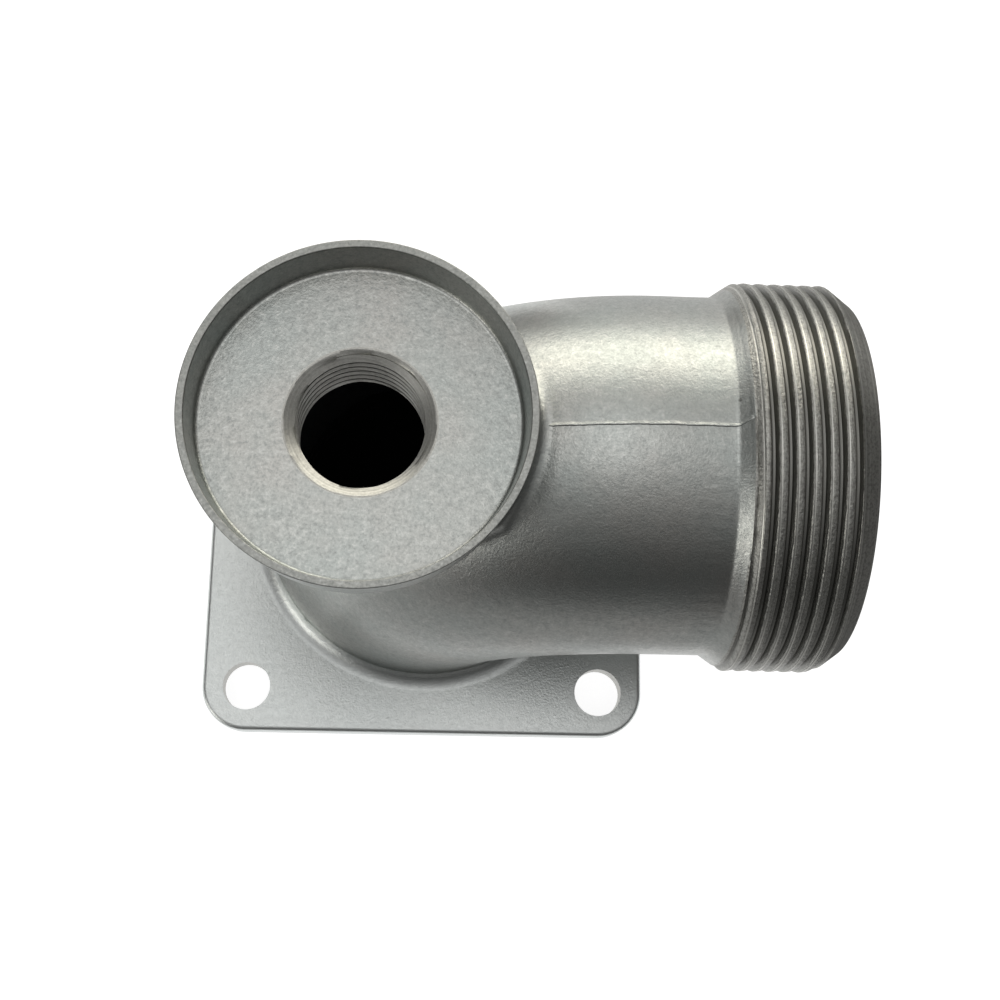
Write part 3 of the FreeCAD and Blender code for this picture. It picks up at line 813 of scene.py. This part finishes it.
def flat_card(first, second):
    """Corners of a flat upright or level card between two opposite corners."""
    low, high = np.minimum(first, second), np.maximum(first, second)
    spans = np.flatnonzero(high > low)
    corners = np.tile(low, (2, 2, 1)).astype(float)
    corners[1, :, spans[0]] = high[spans[0]]
    corners[:, 1, spans[1]] = high[spans[1]]
    return corners


def soft_lamp(name, place, aim, size, power, colour):
    """Soft lamp with an oblong face that points from its place to its aim."""
    light = bpy.data.lights.new(name, "AREA")
    light.shape = "RECTANGLE"
    light.size, light.size_y = size
    light.energy = power
    light.color = colour
    lamp = bpy.data.objects.new(name, light)
    bpy.context.scene.collection.objects.link(lamp)
    lamp.location = place
    direction = np.asarray(aim, dtype=float) - np.asarray(place, dtype=float)
    x, y, z = direction / np.linalg.norm(direction)
    lamp.rotation_euler = (np.arccos(-z), 0.0, np.arctan2(-x, y))


def photo_camera():
    """Camera of the photograph: almost overhead, from the right-hand side of the outlet."""
    lens = bpy.data.cameras.new("camera")
    lens.lens = 51.82
    lens.sensor_width = 36.0
    lens.clip_start = 0.01
    camera = bpy.data.objects.new("camera", lens)
    bpy.context.scene.collection.objects.link(camera)
    camera.location = (0.000115, -0.0567, 0.2512)
    camera.rotation_euler = (radians(13.658), radians(-3.1126), radians(0.8018))
    bpy.context.scene.camera = camera


photo_camera()
finishes = [cast_skin(), turned_metal(), core_skin(), ground_rim()]
casting = build_casting(finishes)
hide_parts("outlet_elbow")
parting_step(finishes[:1])

studio_world()
studio_floor()

# A flag bent round the near side of the object, from 16 degrees off the top down to the floor.
near_turns = np.radians([16.0, 24.0, 32.0, 45.0, 62.0, 90.0])
near_levels = (0.66, 0.42, 0.30, 0.20, 0.08, 0.05)
bend = np.radians(np.linspace(16, 90, 38))[:, None]
across = np.array([[-0.72, 1.2]])
near_flag = np.stack(np.broadcast_arrays(across, -0.9 * np.sin(bend), 0.9 * np.cos(bend)), axis=-1)
studio_flag("near flag", near_flag, "turn", near_turns, near_levels)

# A card on the near part of the floor that darkens with its distance.
near_floor = flat_card((-0.72, -0.9, 0.0004), (0.9, -0.045, 0.0004))
floor_depths = (0.045, 0.10, 0.20, 0.40, 0.90)
studio_flag("near floor", near_floor, "depth", floor_depths, (0.50, 0.42, 0.22, 0.09, 0.07))

# A card overhead that darkens away from its bright spot.
overhead = flat_card((-0.45, -0.14, 0.5), (0.55, 0.40, 0.5))
spot_places = (0.0, 0.05, 0.09, 0.13, 0.18, 0.25, 0.35, 0.60)
spot_levels = (1.95, 1.75, 1.35, 1.02, 0.84, 0.66, 0.40, 0.20)
studio_flag("overhead", overhead, "spot", spot_places, spot_levels)

# Plain cards of one level: two corners and the level of each.
plain_cards = (
    ("end flag", (0.55, -0.5, 0.0), (0.55, 0.5, 0.499), 0.1),
    ("side flag", (-0.45, -0.15, 0.05), (-0.45, 0.5, 0.499), 0.12),
    ("far card", (0.02, 0.05, 0.0004), (0.9, 0.9, 0.0004), 0.75),
    ("back card", (-0.9, 0.09, 0.0004), (0.01, 0.9, 0.0004), 0.25),
    ("mouth card", (0.075, -0.9, 0.0008), (0.9, 0.15, 0.0008), 0.15),
)
for name, first, second, level in plain_cards:
    studio_flag(name, flat_card(first, second), "depth", (-2.0, 2.0), (level, level))

soft_lamp("warm key", (0.10, 0.56, 0.30), (0.02, 0, 0.04), (0.9, 0.28), 1.8, (1.0, 0.93, 0.77))
soft_lamp("warm side", (-0.61, -0.35, 0.26), (-0.02, 0, 0.02), (0.35, 0.20), 0.40, (1.0, 0.95, 0.84))

bpy.context.scene.view_settings.view_transform = "Standard"
